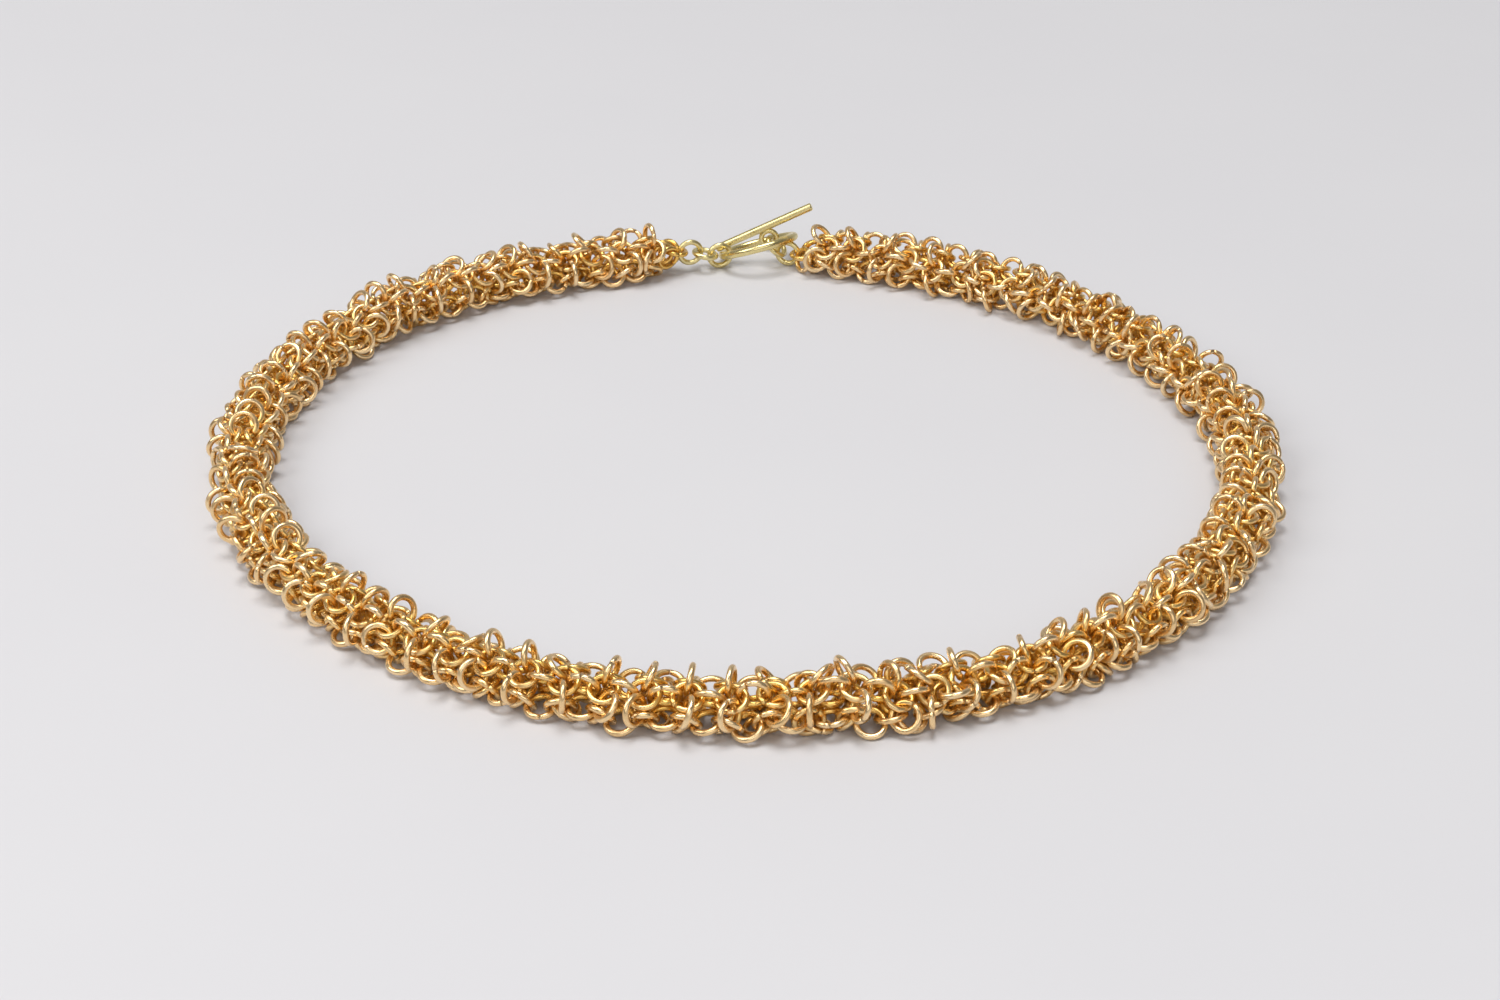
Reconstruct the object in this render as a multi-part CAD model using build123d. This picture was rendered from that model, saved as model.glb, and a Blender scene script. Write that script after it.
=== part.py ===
from build123d import *
import os
from math import cos, radians, sin, tan

# A collar necklace that lies on a table: a thick rope of small round wire rings, closed at
# the back by a toggle clasp. Millimetres, +Z up. The camera's side, the front, is -Y.

# The woven rope is a tube of ring mail. It is one solid here, as wide and as high as the
# real tube, which sags to an oval where it lies.
rope_width = 10.0
rope_thickness = 7.4
rope_end_length = 1.8
rope_tip_diameter = 2.4

# The jump rings: the same size links the clasp and ends the rope.
link_outer = 4.1
link_wire = 0.8

# The toggle clasp.
toggle_outer = 12.5
toggle_wire = 1.2
bar_length = 16.0
bar_diameter = 1.2
bar_overhang = 0.4
bar_edge = 0.15
eye_outer = 3.1
eye_wire = 0.8
eye_solder = 0.3

# Clearances: between two rings that hold each other, and under the lowest ring.
link_gap = 0.12
table_gap = 0.1

# How the clasp lies, from the middle of the loop. Angles are degrees: a heading is
# counterclockwise from +X seen from above, and a rise is up from the table.
toggle_place = (1.8, 69.3)
toggle_lean = 23.0
toggle_lean_heading = 131.0
bar_rise = 25.5
left_chain_heading = 195.0
left_chain_rise = 12.0
hanging_link_heading = -20.0
hanging_link_drop = 45.0
right_chain_heading = -18.0

# The rope's route round the neck, from its left end by the front to its right end, as
# seen from above. The two ends follow from the clasp.
rope_route = [
    (-32.9, 59.4),
    (-52.7, 43.4),
    (-64.8, 20.2),
    (-66.1, -5.2),
    (-58.7, -28.1),
    (-42.7, -47.5),
    (-20.6, -61.1),
    (4.2, -64.5),
    (28.2, -59.5),
    (49.0, -44.3),
    (62.4, -22.4),
    (66.7, 3.0),
    (60.2, 27.4),
    (45.4, 48.4),
    (26.2, 62.1),
]
arc_share = 0.45

link_radius = (link_outer - link_wire) / 2
link_reach = link_radius - link_wire - link_gap
link_pitch = link_radius + link_reach
toggle_radius = (toggle_outer - toggle_wire) / 2
rope_height = rope_thickness / 2
up = Vector(0, 0, 1)


def heading(angle, rise=0.0):
    """Unit vector of a heading and a rise."""
    flat = cos(radians(rise))
    return Vector(flat * cos(radians(angle)), flat * sin(radians(angle)), sin(radians(rise)))


def ring(centre, normal, outer, wire):
    """A closed round ring of round wire."""
    return Plane(origin=centre, z_dir=normal) * Torus((outer - wire) / 2, wire / 2)


def link(centre, normal):
    return ring(centre, normal, link_outer, link_wire)


# The toggle ring leans: its low side is near the table, its high side on the right link.
toggle_normal = heading(toggle_lean_heading, 90 - toggle_lean)
toggle_centre = Vector(
    *toggle_place,
    table_gap + toggle_wire / 2 + toggle_radius * sin(radians(toggle_lean)),
)
toggle_ring = ring(toggle_centre, toggle_normal, toggle_outer, toggle_wire)

# Three links run from the toggle ring to the rope's left end. The first one holds the
# ring's wire, and each next one is turned a quarter round.
left_way = heading(left_chain_heading, left_chain_rise)
left_flat_way = heading(left_chain_heading)
rim_way = (left_flat_way - toggle_normal * left_flat_way.dot(toggle_normal)).normalized()
rim_point = toggle_centre + rim_way * toggle_radius
first_link = rim_point + left_way * (link_radius - (toggle_wire + link_wire) / 2 - link_gap)
across_left = up.cross(left_way).normalized()
above_left = left_way.cross(across_left)
left_links = [
    link(first_link + left_way * link_pitch * i, above_left if i % 2 else across_left)
    for i in range(3)
]
left_end_ring = first_link + left_way * link_pitch * 3

# The bar lies across the ring: near its left end it rests on the ring's rim, and its eye
# is soldered under its middle.
bar_way = heading(0, bar_rise)
bar_up = heading(180, 90 - bar_rise)
level_way = Vector(0, 1, 0).cross(toggle_normal).normalized()
bar_rest = (
    toggle_centre
    - level_way * toggle_radius
    + bar_up * ((toggle_wire + bar_diameter) / 2 + link_gap)
)
bar_middle = bar_rest + bar_way * (bar_length / 2 - bar_overhang)
bar = Plane(origin=bar_middle, z_dir=bar_way) * Cylinder(bar_diameter / 2, bar_length)
bar = chamfer(bar.edges().filter_by(GeomType.CIRCLE), bar_edge)
eye_centre = bar_middle - bar_up * ((eye_outer + bar_diameter) / 2 - eye_solder)
toggle_bar = bar + ring(eye_centre, Vector(0, 1, 0), eye_outer, eye_wire)

# Two links run from the eye, through the toggle ring, to the rope's right end: the first
# hangs down from the eye, the second stands on edge below the ring's high side.
hanging_way = heading(hanging_link_heading, -hanging_link_drop)
across_hanging = up.cross(hanging_way).normalized()
hanging_centre = eye_centre + hanging_way * link_radius
hanging_foot = hanging_centre + hanging_way * link_radius
right_way = heading(right_chain_heading)
across_right = up.cross(right_way)
standing_height = link_outer / 2 + table_gap
standing_way = right_way * link_reach + up * (standing_height - hanging_foot.Z)
standing_centre = hanging_foot + standing_way.normalized() * link_reach
right_links = [
    link(hanging_centre, hanging_way.cross(across_hanging)),
    link(standing_centre, across_right),
]
right_end_ring = standing_centre + right_way * link_pitch


def rope_tip(ring_centre, way):
    """Where the gathered end of the rope closes round the far side of its last ring."""
    return ring_centre + way * (link_radius - link_wire / 2)


left_tip = rope_tip(left_end_ring, left_flat_way)
right_tip = rope_tip(right_end_ring, right_way)
left_full = left_tip + left_flat_way * rope_end_length
right_full = right_tip + right_way * rope_end_length

# The route's straight runs are joined by arcs as large as the runs allow.
ends = [Vector(place.X, place.Y, rope_height) for place in (left_full, right_full)]
route = [ends[0]] + [Vector(x, y, rope_height) for x, y in rope_route] + [ends[1]]
radii = []
for before, corner, after in zip(route, route[1:], route[2:]):
    run_in = corner - before
    run_out = after - corner
    turn = radians(run_in.get_angle(run_out))
    radii.append(arc_share * min(run_in.length, run_out.length) / tan(turn / 2))
path = FilletPolyline(*route, radius=radii)


def rope_section(place, way):
    """The rope's oval section, its width level."""
    oval = Ellipse(rope_width / 2, rope_thickness / 2)
    return Plane(origin=place, x_dir=up.cross(way), z_dir=way) * oval


section = rope_section(path @ 0, path % 0)
tube = sweep(section, path=path)


def gathered_end(tip_place, way, full_place, full_way, ring_centre, ring_normal):
    """The last rows of the rope drawn together onto one ring, which they hold fast."""
    tip = Plane(origin=tip_place, x_dir=up.cross(way), z_dir=way) * Circle(rope_tip_diameter / 2)
    full = rope_section(full_place, full_way)
    return loft([tip.face(), full.face()], ruled=True) + link(ring_centre, ring_normal)


left_end = gathered_end(left_tip, left_flat_way, path @ 0, path % 0, left_end_ring, above_left)
right_end = gathered_end(right_tip, right_way, path @ 1, -(path % 1), right_end_ring, up)
woven_rope = tube + left_end + right_end

print("arc radii:", [round(radius, 1) for radius in radii])
print("runs:", [round((b - a).length, 1) for a, b in zip(route, route[1:])])
print("rope length: %.1f" % path.length)
print("tube volume / section x length: %.5f" % (tube.volume / (section.area * path.length)))

nodes = {
    "woven_rope": woven_rope,
    "toggle_ring": toggle_ring,
    "toggle_bar": toggle_bar,
}
for i, shape in enumerate(left_links, 1):
    nodes["left_link_%d" % i] = shape
for i, shape in enumerate(right_links, 1):
    nodes["right_link_%d" % i] = shape

# The origin is at the middle of the whole necklace, on the table.
middle = Compound(list(nodes.values())).bounding_box().center()
print("middle of the loop: %.2f %.2f" % (-middle.X, -middle.Y))
to_origin = Location((-middle.X, -middle.Y, 0))

os.makedirs("parts", exist_ok=True)
for name, shape in nodes.items():
    shape = to_origin * shape
    export_step(shape, "parts/%s.step" % name)
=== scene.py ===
import math
from itertools import product

import bmesh
import bpy
import numpy as np
from mathutils import Matrix, Vector


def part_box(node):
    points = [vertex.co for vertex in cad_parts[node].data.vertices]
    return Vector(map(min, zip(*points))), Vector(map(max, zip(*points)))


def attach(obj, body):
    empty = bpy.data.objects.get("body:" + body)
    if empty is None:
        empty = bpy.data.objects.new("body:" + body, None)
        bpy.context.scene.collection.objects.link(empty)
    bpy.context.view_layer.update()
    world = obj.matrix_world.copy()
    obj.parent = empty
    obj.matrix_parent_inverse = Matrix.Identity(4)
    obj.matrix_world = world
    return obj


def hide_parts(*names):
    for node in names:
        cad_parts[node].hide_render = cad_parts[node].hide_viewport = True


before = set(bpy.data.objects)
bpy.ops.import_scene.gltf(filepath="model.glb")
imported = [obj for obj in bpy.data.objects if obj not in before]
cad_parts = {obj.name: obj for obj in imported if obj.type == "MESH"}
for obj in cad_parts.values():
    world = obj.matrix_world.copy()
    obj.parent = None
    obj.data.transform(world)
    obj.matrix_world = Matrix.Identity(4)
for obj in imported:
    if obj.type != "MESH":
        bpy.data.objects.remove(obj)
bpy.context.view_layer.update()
mm = 0.001


# The camera looks down at the necklace from the front. It stands 37.5 cm from the middle of
# the loop, with a short telephoto lens.

camera_pitch = math.radians(27.6)
camera_height = 170.3 * mm
camera_back = 334.5 * mm
camera_aside = 0.56 * mm
camera_lens = 68.64
camera_sensor = 36.0
camera_clip = 10 * mm

# The toggle ring sits this far from the middle of the loop, so its place gives the middle.
toggle_place = Vector((1.8 * mm, 69.3 * mm, 0))


def node_middle(name):
    """The middle of a CAD node's box."""
    low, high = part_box(name)
    return (low + high) / 2


loop_middle = node_middle("toggle_ring") - toggle_place
loop_middle.z = 0
camera_data = bpy.data.cameras.new("camera")
camera_data.sensor_width = camera_sensor
camera_data.lens = camera_lens
camera_data.clip_start = camera_clip
camera = bpy.data.objects.new("camera", camera_data)
camera.location = loop_middle + Vector((camera_aside, -camera_back, camera_height))
camera.rotation_euler = (math.pi / 2 - camera_pitch, 0, 0)
bpy.context.collection.objects.link(camera)
bpy.context.scene.camera = camera


# The rope is ring mail: round jump rings of gold wire, linked four in one into a four-sided
# tube. In each row a flat ring on every side holds two rings along the tube and two over the
# edges. The rings are loose, so the tube slumps and twists on the table. Millimetres.

ring_outer = 4.1
ring_wire = 0.8
ring_radius = (ring_outer - ring_wire) / 2

# The rings of a side stand side_height from the tube's middle line, and that line runs
# rope_height above the table. The route goes from the left end by the front to the right end.
side_height = 2.25
rope_height = 4.0
route_order = 3
route_fineness = 40
rope_route = [
    (-32.9, 59.4),
    (-52.7, 43.4),
    (-64.8, 20.2),
    (-66.1, -5.2),
    (-58.7, -28.1),
    (-42.7, -47.5),
    (-20.6, -61.1),
    (4.2, -64.5),
    (28.2, -59.5),
    (49.0, -44.3),
    (62.4, -22.4),
    (66.7, 3.0),
    (60.2, 27.4),
    (45.4, 48.4),
    (26.2, 62.1),
]

# Each end of the rope hangs on the clasp's links by one last ring, and has its full width
# this far behind it. The heading is the right links', seen from above.
right_chain_heading = math.radians(-18.0)
end_to_full_rope = 3.1


def in_mm(place):
    """A place of the frame, from the middle of the loop, in millimetres."""
    return np.array(place - loop_middle) / mm


def unit(v):
    """Vectors made one long."""
    return v / np.linalg.norm(v, axis=-1, keepdims=True)


up = np.array([0.0, 0.0, 1.0])
links = {n: in_mm(node_middle(n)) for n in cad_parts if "link" in n}
left_step = links["left_link_3"] - links["left_link_2"]
left_end = links["left_link_3"] + left_step
left_flat = unit(left_step * (1, 1, 0))
left_end_normal = unit(np.cross(left_step, np.cross(up, left_step)))
right_flat = np.array([math.cos(right_chain_heading), math.sin(right_chain_heading), 0])
right_end = links["right_link_2"] + right_flat * np.linalg.norm(left_step)
left_full = left_end + left_flat * end_to_full_rope
right_full = right_end + right_flat * end_to_full_rope


def smooth_line(points):
    """Points close together along the smooth line of a route."""
    curve = bpy.data.curves.new("route", "CURVE")
    curve.dimensions = "3D"
    curve.resolution_u = route_fineness
    spline = curve.splines.new("NURBS")
    spline.points.add(len(points) - 1)
    for point, place in zip(spline.points, points):
        point.co = (*place, 1)
    spline.order_u = route_order
    spline.use_endpoint_u = True
    mesh = bpy.data.meshes.new_from_object(bpy.data.objects.new("route", curve))
    return np.array([v.co for v in mesh.vertices])


route = [(*left_full[:2], rope_height)] + [(x, y, rope_height) for x, y in rope_route]
route += [(*right_full[:2], rope_height)]
line = smooth_line(route)
line_length = np.concatenate([[0], np.cumsum(np.linalg.norm(np.diff(line, axis=0), axis=1))])
rope_length = line_length[-1]

# How the tube lies from its left end (0) to its right end (1). The roll is in degrees: at 45
# an edge is on top, at 0 or 90 a side is. Jumble is how much handling has stirred its rings,
# the pitch is from row to row, and the lift raises its middle line.
lie_table = [
    # share, roll, jumble, pitch, lift
    (0.00, 45, 1.0, 4.5, 0.3),
    (0.06, 35, 0.9, 4.5, 0.7),
    (0.13, 35, 0.8, 4.5, 0.7),
    (0.22, 50, 0.8, 4.6, 0.2),
    (0.33, 60, 0.8, 4.7, 0.0),
    (0.40, 62, 0.5, 4.7, -0.2),
    (0.43, 60, 0.2, 4.65, -0.3),
    (0.49, 58, 0.2, 4.65, -0.3),
    (0.51, 75, 1.3, 4.4, -0.2),
    (0.55, 40, 1.3, 4.3, -0.2),
    (0.59, 80, 1.3, 4.4, -0.2),
    (0.63, 70, 0.9, 4.6, 0.0),
    (0.75, 85, 0.9, 4.6, 0.1),
    (0.88, 75, 0.9, 4.6, 0.2),
    (1.00, 50, 1.0, 4.5, 0.3),
]

# How far a ring over an edge may tip, in degrees, and how far jumble throws a ring off.
calm_lean = 20
jumble_lean = 40
most_lean = 70
jumble_shift = 0.5
jumble_tilt = 0.4

# The first and the last whole row are this far from the tube's ends.
first_row = 1.0
weave_seed = 11


def on_rope(along):
    """The middle of the tube at a length along it, its direction, and its level side."""
    def place(x):
        return np.array([np.interp(x, line_length, line[:, k]) for k in range(3)])

    ahead = unit(place(min(along + 1, rope_length)) - place(max(along - 1, 0)))
    return place(along), ahead, unit(np.cross(ahead, up))


shares, rolls, jumbles, pitches, lifts = np.array(lie_table).T


def on_table(along, column):
    """A column's value at a length along the tube."""
    return np.interp(along / rope_length, shares, column)


rows = [first_row]
while rows[-1] < rope_length - first_row:
    rows.append(rows[-1] + on_table(rows[-1], pitches))
rows = first_row + (
    (np.array(rows) - first_row) * (rope_length - 2 * first_row) / (rows[-1] - first_row)
)
between = (rows[1:] + rows[:-1]) / 2
before, after = 2 * rows[0] - between[0], 2 * rows[-1] - between[-1]
half_rows = np.sort([before, *rows, *between, after])
chance = np.random.default_rng(weave_seed)
centres, normals, rest, rest_normals, jumble, axis_places = [], [], [], [], [], []


def add_ring(centre, normal, rest_centre, rest_normal):
    """A ring of this half row: its place in the weave, and the place where it comes to lie."""
    centres.append(centre)
    normals.append(normal)
    rest.append(rest_centre)
    rest_normals.append(rest_normal)
    jumble.append(on_table(along, jumbles))
    axis_places.append((middle, ahead))


# Half rows take turns: one has a ring lengthwise in each side, the next a flat ring on each
# side and one over each edge, which hangs on two side rings and tips on them along the rope.
edge_pivot = math.sqrt(2) * (side_height - ring_radius / 2)
edge_arm = math.sqrt(2) * side_height - edge_pivot
for count, along in enumerate(half_rows):
    inside = min(max(along, 0), rope_length)
    middle, ahead, level = on_rope(inside)
    middle = middle + ahead * (along - inside) + up * on_table(along, lifts)
    roll = math.radians(on_table(along, rolls))
    sides = [
        math.cos(roll + turn * math.pi / 2) * level + math.sin(roll + turn * math.pi / 2) * up
        for turn in range(4)
    ]
    for side, next_side in zip(sides, sides[1:] + sides[:1]):
        place = middle + side_height * side
        if count % 2 == 0:
            add_ring(place, next_side, place, next_side)
        else:
            add_ring(place, side, place, side)
            lean = chance.normal(0, calm_lean + jumble_lean * on_table(along, jumbles))
            lean = math.radians(np.clip(lean, -most_lean, most_lean))
            out = unit(side + next_side)
            tipped = middle + out * (edge_pivot + edge_arm * math.cos(lean))
            add_ring(
                middle + side_height * (side + next_side),
                ahead,
                tipped + ahead * edge_arm * math.sin(lean),
                ahead * math.cos(lean) - out * math.sin(lean),
            )
centres, rest, jumble = np.array(centres), np.array(rest), np.array(jumble)
normals, rest_normals = unit(np.array(normals)), np.array(rest_normals)

# The last four rings lengthwise, at each end, fan out from one end ring that they share. The
# fan is in degrees round the end ring, and each ring's middle is gather_reach from its wire.
gather_fan = (-60, -20, 20, 60)
gather_reach = 0.9
for end, end_normal, flat, four in (
    (left_end, left_end_normal, left_flat, range(4)),
    (right_end, up, right_flat, range(len(centres) - 4, len(centres))),
):
    across = np.cross(end_normal, flat)
    order = sorted(four, key=lambda i: (centres[i] - end) @ across)
    for i, angle in zip(order, gather_fan):
        lean = math.radians(angle)
        held = end + ring_radius * (math.cos(lean) * flat + math.sin(lean) * across)
        outward = 0.5 * flat + 0.5 * (held - end) / ring_radius
        centres[i] = rest[i] = held + unit(outward) * gather_reach
        normals[i] = rest_normals[i] = unit(np.cross(end_normal, unit(outward)))

rest += chance.normal(0, jumble_shift, rest.shape) * jumble[:, None]
rest_normals = unit(rest_normals + chance.normal(0, jumble_tilt, rest.shape) * jumble[:, None])
loose = len(centres)
held_rings = [(left_end, left_end_normal), (right_end, up)]
centres = np.vstack([centres] + [c for c, n in held_rings])
normals = np.vstack([normals] + [n for c, n in held_rings])


# The rings are let go: each settles under its own weight until its wire lies on the wires
# of the rings that it holds, or on the table. A ring never passes through another.

# Wires keep touch between their middle lines. Turning is how hard a ring is to turn about
# its diameter, for its weight.
touch = ring_wire + 0.015
turning = ring_radius**2 / 2

# Each wire is sampled at a few points round it, and the best of them is then drawn nearer to
# the other wire. Pairs within reach of each other are looked for once in some steps.
wire_samples = 12
samples = np.arange(wire_samples) * math.tau / wire_samples
sample_slack = 0.25
nearing_rounds = 3
pair_reach = 0.45
wire_reach = 0.65
steps_per_search = 12

# Each step is followed by rounds that part the wires that are too close, by a share of what
# they lack. A calm ring is shaken less than a stirred one, and shaking turns it more.
touch_rounds = 2
give_share = 0.4
calm_shake = 0.4
shake_turn = 3


def near_pairs(reach):
    """Pairs of rings whose middles are closer than reach."""
    cells = {}
    for i, cell in enumerate(map(tuple, np.floor(centres / reach).astype(int))):
        cells.setdefault(cell, []).append(i)
    first, second = [], []
    for cell, members in cells.items():
        around = [
            j
            for shift in product((-1, 0, 1), repeat=3)
            for j in cells.get(tuple(np.add(cell, shift)), ())
        ]
        around = np.array(around)
        for i in members:
            later = around[around > i]
            later = later[np.linalg.norm(centres[later] - centres[i], axis=1) < reach]
            first.append(np.full(len(later), i))
            second.append(later)
    return np.concatenate(first), np.concatenate(second)


def nearest_on(ring, place):
    """The point of each ring's middle line that is nearest to a place."""
    offset = place - centres[ring]
    offset -= normals[ring] * np.sum(offset * normals[ring], -1, keepdims=True)
    return centres[ring] + offset * ring_radius / np.linalg.norm(offset, axis=-1, keepdims=True)


def across_rings():
    """Two ways across each ring, in its plane and square to each other."""
    not_along = np.where(np.abs(normals[:, 2:]) < 0.9, up, (1.0, 0.0, 0.0))
    u = unit(np.cross(not_along, normals))
    return u, np.cross(normals, u)


def closest_points(first, second, limit):
    """Both ways round each pair: where the two wires' middle lines come closest."""
    u, v = across_rings()
    points = centres[:, None] + ring_radius * (
        np.cos(samples)[:, None] * u[:, None] + np.sin(samples)[:, None] * v[:, None]
    )
    one = np.concatenate([first, second])
    other = np.concatenate([second, first])
    offset = points[one] - centres[other][:, None]
    above = np.einsum("msk,mk->ms", offset, normals[other])
    out = np.sqrt(np.maximum(np.einsum("msk,msk->ms", offset, offset) - above**2, 1e-12))
    gap = above**2 + (out - ring_radius) ** 2
    best = np.argmin(gap, 1)
    near = gap[np.arange(len(one)), best] < (limit + sample_slack) ** 2
    one, other, best = one[near], other[near], best[near]
    place = points[one, best]
    for nearing in range(nearing_rounds):
        place = nearest_on(one, nearest_on(other, place))
    facing = nearest_on(other, place)
    return one, other, place, facing, np.linalg.norm(place - facing, axis=1)


def settle(steps, weight, hold, shake):
    """Lets the rings move for a number of small steps, in which each one sinks by weight, is
    drawn by the share hold to its place of rest, and is shaken, less and less."""
    global centres, normals
    for step in range(steps):
        if step % steps_per_search == 0:
            one, other, place, facing, gap = closest_points(
                *near_pairs(2 * ring_radius + ring_wire + pair_reach), ring_wire + wire_reach
            )
            pairs = np.unique(np.minimum(one, other) * len(centres) + np.maximum(one, other))
            first, second = pairs // len(centres), pairs % len(centres)
        centres[:loose] += (rest - centres[:loose]) * hold
        centres[:loose, 2] -= weight
        jolt = (shake * (1 - step / steps) * (calm_shake + (1 - calm_shake) * jumble))[:, None]
        centres[:loose] += chance.normal(0, 1, rest.shape) * jolt
        lying = normals[:loose] + (rest_normals - normals[:loose]) * hold
        normals[:loose] = unit(lying + chance.normal(0, shake_turn, rest.shape) * jolt)
        for parting in range(touch_rounds):
            one, other, place, facing, gap = closest_points(first, second, touch)
            close = gap < touch
            one, other, gap = one[close], other[close], gap[close]
            place, facing = place[close], facing[close]
            way = (place - facing) / gap[:, None]
            twist_one = np.cross(place - centres[one], way)
            twist_other = np.cross(facing - centres[other], way)
            ease = 2 + (np.sum(twist_one**2, 1) + np.sum(twist_other**2, 1)) / turning
            give = ((touch - gap) / ease * give_share)[:, None]
            push = way * give
            turn_one = twist_one * give / turning
            turn_other = twist_other * give / turning
            shift = np.zeros_like(centres)
            spin = np.zeros_like(centres)
            for k in range(3):
                shift[:, k] = np.bincount(one, push[:, k], len(centres))
                shift[:, k] -= np.bincount(other, push[:, k], len(centres))
                spin[:, k] = np.bincount(one, turn_one[:, k], len(centres))
                spin[:, k] -= np.bincount(other, turn_other[:, k], len(centres))
            shift[loose:] = 0
            spin[loose:] = 0
            centres += shift
            normals = unit(normals + np.cross(spin, normals))
            steep = np.sqrt(np.maximum(1 - normals[:, 2] ** 2, 1e-9))
            sunk = ring_wire / 2 - (centres[:, 2] - ring_radius * steep)
            sunk = np.where(sunk > 0, sunk, 0)
            sunk[loose:] = 0
            lowest = ring_radius * (normals * normals[:, 2:] - up) / steep[:, None]
            twist = np.cross(lowest, up)
            lift = (sunk / (1 + np.sum(twist**2, 1) / turning))[:, None]
            centres += up * lift
            normals = unit(normals + np.cross(twist * lift / turning, normals))


# First the rings are drawn to their places, then they drop and are shaken, then they rest.
settling_table = [
    # steps, weight, hold, shake
    (200, 0.000, 0.010, 0.000),
    (700, 0.007, 0.006, 0.020),
    (300, 0.003, 0.002, 0.000),
]
for steps, weight, hold, shake in settling_table:
    settle(steps, weight, hold, shake)

gaps = closest_points(*near_pairs(2 * ring_radius + ring_wire), ring_outer / 2)[-1]
print("rings:", len(centres), "closest middle lines:", round(gaps.min(), 3), "mm")


# One ring: a six-sided wire spun round in twelve steps and closed by a butt joint that shows
# as a fine saw cut. The plated wire is a little finer than the room that it takes up among
# the others. Subdivision rounds it, and draws it in by the two shares below.
plated_wire = 0.76
saw_cut = 0.04
wire_sides = 6
ring_steps = 12
drawn_in_wire = (2 + math.cos(math.tau / wire_sides)) / 3
drawn_in_ring = (2 + math.cos(math.tau / ring_steps)) / 3

shape = bmesh.new()
sharp = shape.edges.layers.float.new("crease_edge")
section = bmesh.ops.create_circle(
    shape, radius=plated_wire / 2 / drawn_in_wire, segments=wire_sides
)
stand = Matrix.Translation((ring_radius, 0, 0)) @ Matrix.Rotation(math.pi / 2, 4, "X")
bmesh.ops.transform(shape, matrix=stand, verts=section["verts"])
bmesh.ops.spin(
    shape,
    geom=shape.edges[:],
    axis=(0, 0, 1),
    cent=(0, 0, 0),
    angle=math.tau - saw_cut / ring_radius,
    steps=ring_steps,
)
ends = [e for e in shape.edges if e.is_boundary]
for edge in ends:
    edge[sharp] = 1.0
bmesh.ops.holes_fill(shape, edges=ends)
bmesh.ops.recalc_face_normals(shape, faces=shape.faces)

# Its UV map runs along the wire and round it, in millimetres. A corner's angles are counted
# from its face's own, so that no face is torn where the angles start again.
uv_places = []
for face in shape.faces:
    centre = face.calc_center_median()
    turn = math.atan2(centre.y, centre.x)
    back = Matrix.Rotation(-turn, 3, "Z")
    face_round = math.atan2(centre.z, centre.xy.length - ring_radius)
    for corner in face.loops:
        near = back @ corner.vert.co
        round_wire = math.atan2(near.z, near.xy.length - ring_radius) - face_round
        round_wire = (round_wire + math.pi) % math.tau - math.pi + face_round
        along_wire = math.atan2(near.y, near.x) + turn
        uv_places.append((along_wire * ring_radius, round_wire * ring_wire / 2))

# The wire tapers by a sixth to its two cut faces, as tumbling wears them, and that shows the
# joint. Along the ring they stay in place, because a crease isn't drawn in that way.
for vert in {v for e in shape.edges if e[sharp] > 0 for v in e.verts}:
    middle = Vector((*vert.co.xy, 0)).normalized() * ring_radius
    vert.co = middle + (vert.co - middle) * drawn_in_wire
    vert.co.xy *= drawn_in_ring
bmesh.ops.scale(shape, vec=(1 / drawn_in_ring, 1 / drawn_in_ring, 1), verts=shape.verts)
points = np.array([v.co for v in shape.verts])
faces = [[v.index for v in f.verts] for f in shape.faces]
round_faces = [len(face) < 5 for face in faces]
creases = {tuple(sorted(v.index for v in e.verts)) for e in shape.edges if e[sharp] > 0}
shape.free()

# Every ring is this ring, turned at random about its own middle and laid in its place.
u, v = across_rings()
spin = chance.uniform(0, math.tau, len(centres))[:, None]
u, v = u * np.cos(spin) + v * np.sin(spin), v * np.cos(spin) - u * np.sin(spin)
axes = np.stack([u, v, normals], 1)
tones = chance.uniform(0, 1, len(centres))
everything = centres[:, None] + np.einsum("pk,nkx->npx", points, axes)

# How deep each point lies in the tube: 0 outside, at full_depth from its middle line, and 1 on
# that line. The gold's painted shade follows it.
full_depth = 4.0
axis_places += [axis_places[0], axis_places[-1]]
middles, aheads = np.array(axis_places).transpose(1, 0, 2)
middles[:, 2] = centres[:, 2].mean()
from_middle = everything - middles[:, None]
from_middle -= aheads[:, None] * np.einsum("npk,nk->np", from_middle, aheads)[..., None]
painted_shade_depths = np.clip(1 - np.linalg.norm(from_middle, axis=-1) / full_depth, 0, 1)
everything = everything * mm + np.array(loop_middle)


# Gold-plated brass wire, drawn through a die and barrel polished: fine lines along the wire,
# small dulled patches, and a shade of difference from ring to ring. Deep in the tube the colour
# is painted a deeper, darker gold, as painted shade and painted reflection of the gold that
# the rings mirror there. Each ring takes its own stretch of the die lines.
die_line_width = 0.06
die_line_length = 2.5
dull_patch = 1.2
own_stretch = (90, 70, 50)


def srgb(code):
    """A hex colour as linear numbers."""
    parts = [int(code[i:i + 2], 16) / 255 for i in (0, 2, 4)]
    return [p / 12.92 if p <= 0.04045 else ((p + 0.055) / 1.055) ** 2.4 for p in parts] + [1]


def add_node(tree, kind, inputs=None, **settings):
    """Adds a node, with its settings, and its inputs as values or links. A mix of colours
    has them at inputs 6 and 7, and its result at output 2."""
    node = tree.nodes.new(kind)
    for name, value in settings.items():
        setattr(node, name, value)
    for name, value in (inputs or {}).items():
        if isinstance(value, bpy.types.NodeSocket):
            tree.links.new(value, node.inputs[name])
        else:
            node.inputs[name].default_value = value
    return node


def new_material(name):
    """An empty material and its node tree."""
    material = bpy.data.materials.new(name)
    material.use_nodes = True
    material.node_tree.nodes.clear()
    return material, material.node_tree


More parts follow.
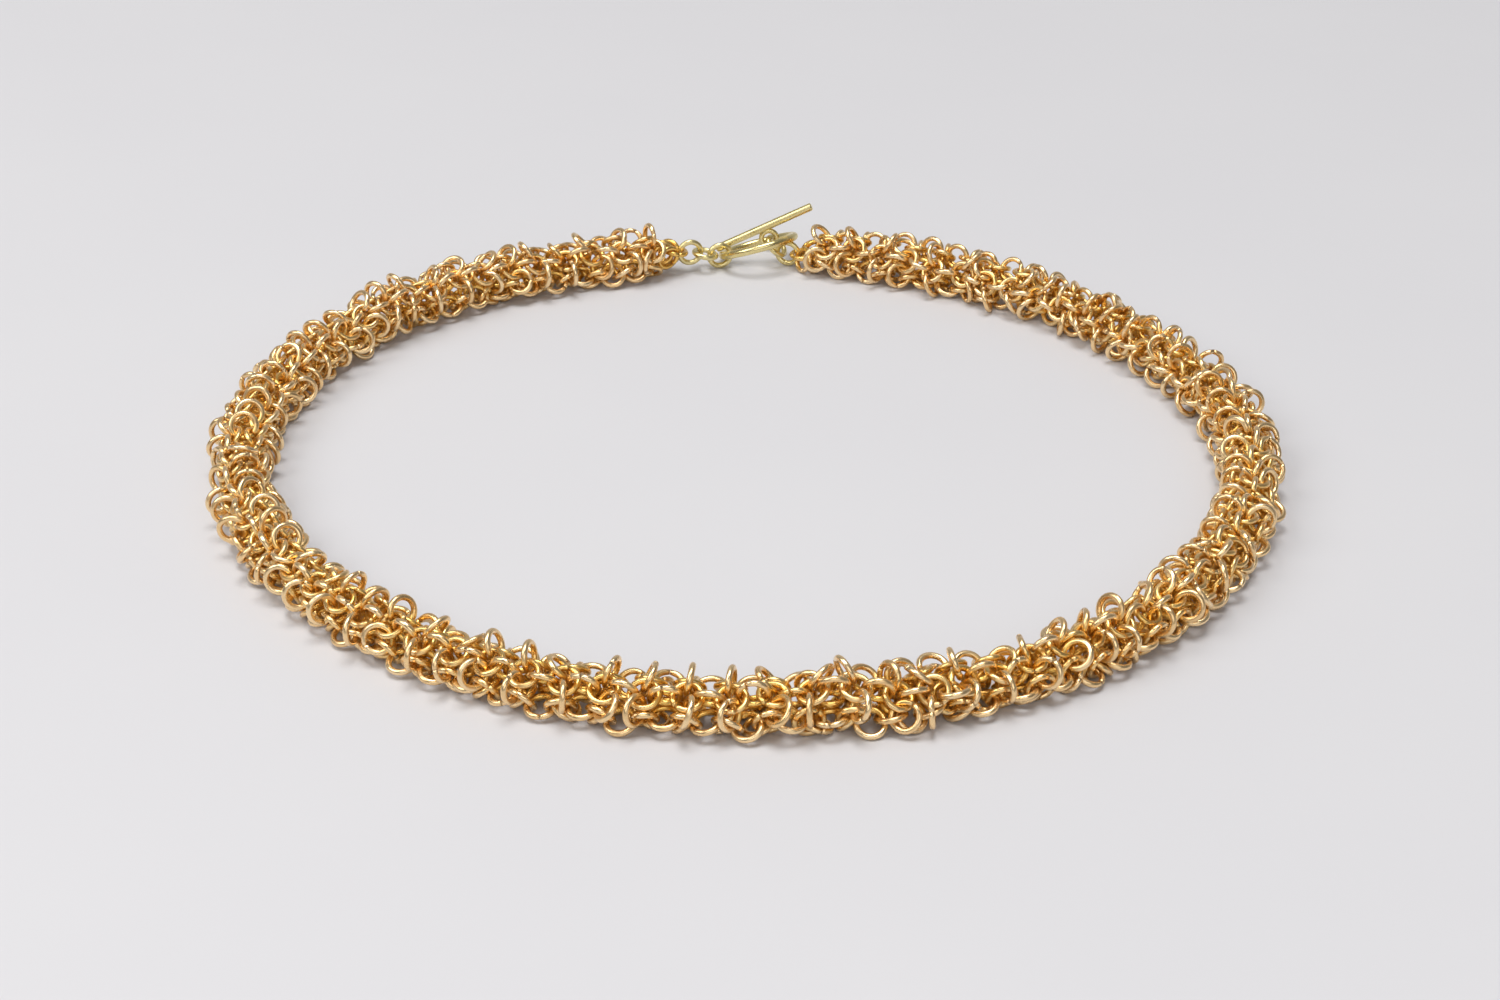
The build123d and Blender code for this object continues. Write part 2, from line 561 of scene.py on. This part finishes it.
gold, tree = new_material("gold_plated_brass_wire")
tone = add_node(tree, "ShaderNodeAttribute", attribute_name="tone").outputs["Fac"]
wire_map = add_node(tree, "ShaderNodeUVMap", uv_map="wire").outputs["UV"]
own_map = add_node(
    tree, "ShaderNodeVectorMath",
    {0: wire_map, 1: add_node(
        tree, "ShaderNodeVectorMath", {0: tone, 1: own_stretch}, operation="MULTIPLY"
    ).outputs["Vector"]},
    operation="ADD",
).outputs["Vector"]
stretched = add_node(
    tree, "ShaderNodeMapping",
    {"Vector": own_map, "Scale": (1 / die_line_length, 1 / die_line_width, 1)},
).outputs["Vector"]
die_lines = add_node(
    tree, "ShaderNodeTexNoise", {"Vector": stretched, "Scale": 1.0, "Detail": 3.0}
).outputs["Fac"]
place_on = add_node(tree, "ShaderNodeTexCoord").outputs["Object"]
patches = add_node(
    tree, "ShaderNodeTexNoise",
    {"Vector": place_on, "Scale": 1 / (dull_patch * mm), "Detail": 4.0},
).outputs["Fac"]
shade = add_node(
    tree, "ShaderNodeMix",
    {"Factor": tone, 6: srgb("F4CE94"), 7: srgb("FCDEAC")},
    data_type="RGBA",
).outputs[2]
shade = add_node(
    tree, "ShaderNodeMix",
    {
        "Factor": add_node(
            tree, "ShaderNodeMapRange",
            {"Value": patches, "From Min": 0.45, "From Max": 0.75, "To Min": 0.0, "To Max": 0.25},
        ).outputs["Result"],
        6: shade,
        7: srgb("C99B57"),
    },
    data_type="RGBA",
).outputs[2]
# Painted shade: deeper in the tube, the colour is mixed up to 0.6 of the way to a darker, deeper
# gold.
painted_shade_depth = add_node(tree, "ShaderNodeAttribute", attribute_name="painted_shade_depth").outputs["Fac"]
shade = add_node(
    tree, "ShaderNodeMix",
    {
        "Factor": add_node(
            tree, "ShaderNodeMapRange",
            {"Value": painted_shade_depth, "From Min": 0.05, "From Max": 0.5, "To Min": 0.0, "To Max": 0.6},
        ).outputs["Result"],
        6: shade,
        7: srgb("EEBA20"),
    },
    data_type="RGBA",
).outputs[2]
dullness = add_node(
    tree, "ShaderNodeMath",
    {
        0: add_node(
            tree, "ShaderNodeMapRange",
            {"Value": die_lines, "From Min": 0.3, "From Max": 0.7, "To Min": 0.18, "To Max": 0.3},
        ).outputs["Result"],
        1: add_node(
            tree, "ShaderNodeMapRange",
            {"Value": patches, "From Min": 0.4, "From Max": 0.7, "To Min": 0.0, "To Max": 0.12},
        ).outputs["Result"],
    },
    operation="ADD",
).outputs["Value"]
relief = add_node(
    tree, "ShaderNodeBump", {"Height": die_lines, "Strength": 0.5, "Distance": 0.01 * mm}
).outputs["Normal"]
finish = add_node(
    tree, "ShaderNodeBsdfPrincipled",
    {
        "Base Color": shade,
        "Metallic": 1.0,
        "Roughness": dullness,
        "Normal": relief,
        "Coat Weight": 0.4,
        "Coat Roughness": 0.15,
    },
)
add_node(tree, "ShaderNodeOutputMaterial", {"Surface": finish.outputs["BSDF"]})

# The rings are joined in pieces, each a length of the rope.
rope_pieces = 4
for part, some in enumerate(np.array_split(np.arange(len(centres)), rope_pieces)):
    mesh = bpy.data.meshes.new("rope_rings_%d" % (part + 1))
    mesh.from_pydata(
        everything[some].reshape(-1, 3),
        [],
        [[i + k * len(points) for i in face] for k in range(len(some)) for face in faces],
    )
    mesh.polygons.foreach_set("use_smooth", round_faces * len(some))
    mesh.attributes.new("tone", "FLOAT", "POINT").data.foreach_set(
        "value", np.repeat(tones[some], len(points))
    )
    # Each point's depth in the tube, for the painted shade of the gold.
    mesh.attributes.new("painted_shade_depth", "FLOAT", "POINT").data.foreach_set(
        "value", painted_shade_depths[some].ravel()
    )
    mesh.uv_layers.new(name="wire").data.foreach_set(
        "uv", np.tile(uv_places, (len(some), 1)).ravel()
    )
    edges = np.array([e.vertices[:] for e in mesh.edges]) % len(points)
    mesh.attributes.new("crease_edge", "FLOAT", "EDGE").data.foreach_set(
        "value", [float(tuple(sorted(edge)) in creases) for edge in edges.tolist()]
    )
    mesh.materials.append(gold)
    piece = bpy.data.objects.new(mesh.name, mesh)
    bpy.context.collection.objects.link(piece)
    rounding = piece.modifiers.new("rounding", "SUBSURF")
    rounding.levels = rounding.render_levels = 1
    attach(piece, "root")
    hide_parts("woven_rope")


# The clasp came ready made: cast and drawn brass with a paler, greener gold plate, tumbled
# bright. Wear has left fine scratches all ways and a cloudy sheen.
scratch_spacing = 0.15
cloud = 2.0

pale, tree = new_material("pale_gold_plated_clasp")
place_on = add_node(tree, "ShaderNodeTexCoord").outputs["Object"]
clouds = add_node(
    tree, "ShaderNodeTexNoise", {"Vector": place_on, "Scale": 1 / (cloud * mm), "Detail": 5.0}
).outputs["Fac"]
scratches = add_node(
    tree, "ShaderNodeTexNoise",
    {"Vector": place_on, "Scale": 1 / (scratch_spacing * mm), "Detail": 2.0, "Distortion": 3.0},
).outputs["Fac"]
shade = add_node(
    tree, "ShaderNodeMix",
    {"Factor": clouds, 6: srgb("DFCB88"), 7: srgb("F3E4AC")},
    data_type="RGBA",
).outputs[2]
dullness = add_node(
    tree, "ShaderNodeMapRange",
    {"Value": clouds, "From Min": 0.3, "From Max": 0.7, "To Min": 0.2, "To Max": 0.36},
).outputs["Result"]
relief = add_node(
    tree, "ShaderNodeBump", {"Height": scratches, "Strength": 0.4, "Distance": 0.01 * mm}
).outputs["Normal"]
finish = add_node(
    tree, "ShaderNodeBsdfPrincipled",
    {"Base Color": shade, "Metallic": 1.0, "Roughness": dullness, "Normal": relief},
)
add_node(tree, "ShaderNodeOutputMaterial", {"Surface": finish.outputs["BSDF"]})
for name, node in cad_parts.items():
    if name != "woven_rope":
        node.data.materials.clear()
        node.data.materials.append(pale)


# The table is a matt white laminate board, pressed from printed paper and resin, with a
# faintly uneven tone and a fine grain. It is the stage, and runs far out all round.
board_tone = 60.0
board_grain = 0.4
board_reach = 2000 * mm

board, tree = new_material("matt_white_laminate")
place_on = add_node(tree, "ShaderNodeTexCoord").outputs["Object"]
unevenness = add_node(
    tree, "ShaderNodeTexNoise",
    {"Vector": place_on, "Scale": 1 / (board_tone * mm), "Detail": 3.0},
).outputs["Fac"]
grain = add_node(
    tree, "ShaderNodeTexNoise",
    {"Vector": place_on, "Scale": 1 / (board_grain * mm), "Detail": 2.0},
).outputs["Fac"]
shade = add_node(
    tree, "ShaderNodeMix",
    {"Factor": unevenness, 6: srgb("D3D2D5"), 7: srgb("D7D6D8")},
    data_type="RGBA",
).outputs[2]
relief = add_node(
    tree, "ShaderNodeBump", {"Height": grain, "Strength": 0.2, "Distance": 0.02 * mm}
).outputs["Normal"]
finish = add_node(
    tree, "ShaderNodeBsdfPrincipled", {"Base Color": shade, "Roughness": 0.6, "Normal": relief}
)
add_node(tree, "ShaderNodeOutputMaterial", {"Surface": finish.outputs["BSDF"]})
shape = bmesh.new()
bmesh.ops.create_grid(shape, x_segments=1, y_segments=1, size=board_reach)
mesh = bpy.data.meshes.new("table")
shape.to_mesh(mesh)
shape.free()
mesh.materials.append(board)
table = bpy.data.objects.new("table", mesh)
bpy.context.collection.objects.link(table)


# The light is a pale studio's: its walls glow softly all round, and more behind the
# necklace, a wide lit ceiling shines straight down, and two large soft boxes stand on the
# left and behind the camera. Metres and watts.
wall_glow = 0.2
back_wall_glow = 0.5
ceiling_spread = math.radians(33)
ceiling_light = 1.74

# The back wall begins, and is full, where a way out of the room points this far to the back.
back_wall_from = 0.3
back_wall_full = 0.95

world = bpy.data.worlds.new("room")
world.use_nodes = True
world_tree = world.node_tree
walls = world_tree.nodes["Background"]
walls.inputs["Color"].default_value = (1.0, 0.99, 1.0, 1)
towards = add_node(world_tree, "ShaderNodeTexCoord").outputs["Generated"]
back_share = add_node(world_tree, "ShaderNodeSeparateXYZ", {"Vector": towards}).outputs["Y"]
glow = add_node(
    world_tree, "ShaderNodeMapRange",
    {
        "Value": back_share,
        "From Min": back_wall_from,
        "From Max": back_wall_full,
        "To Min": wall_glow,
        "To Max": back_wall_glow,
    },
)
world_tree.links.new(glow.outputs["Result"], walls.inputs["Strength"])
bpy.context.scene.world = world
bpy.context.scene.view_settings.view_transform = "Standard"


def soft_box(name, place, size, power, colour):
    """A lamp as wide and as high as its size, turned to the middle of the loop."""
    data = bpy.data.lights.new(name, "AREA")
    data.shape = "RECTANGLE"
    data.size, data.size_y = size
    data.energy = power
    data.color = colour
    lamp = bpy.data.objects.new(name, data)
    lamp.location = place
    lamp.rotation_euler = (-Vector(place)).to_track_quat("-Z", "Y").to_euler()
    bpy.context.collection.objects.link(lamp)


soft_box("left_box", (-0.68, -0.25, 0.7), (0.6, 0.6), 4.2, (1, 0.99, 0.97))
soft_box("front_box", (0.1, -0.8, 0.45), (0.9, 0.5), 1.8, (1, 1, 1))
ceiling = bpy.data.lights.new("ceiling", "SUN")
ceiling.angle = ceiling_spread
ceiling.energy = ceiling_light
bpy.context.collection.objects.link(bpy.data.objects.new("ceiling", ceiling))

bpy.context.view_layer.update()
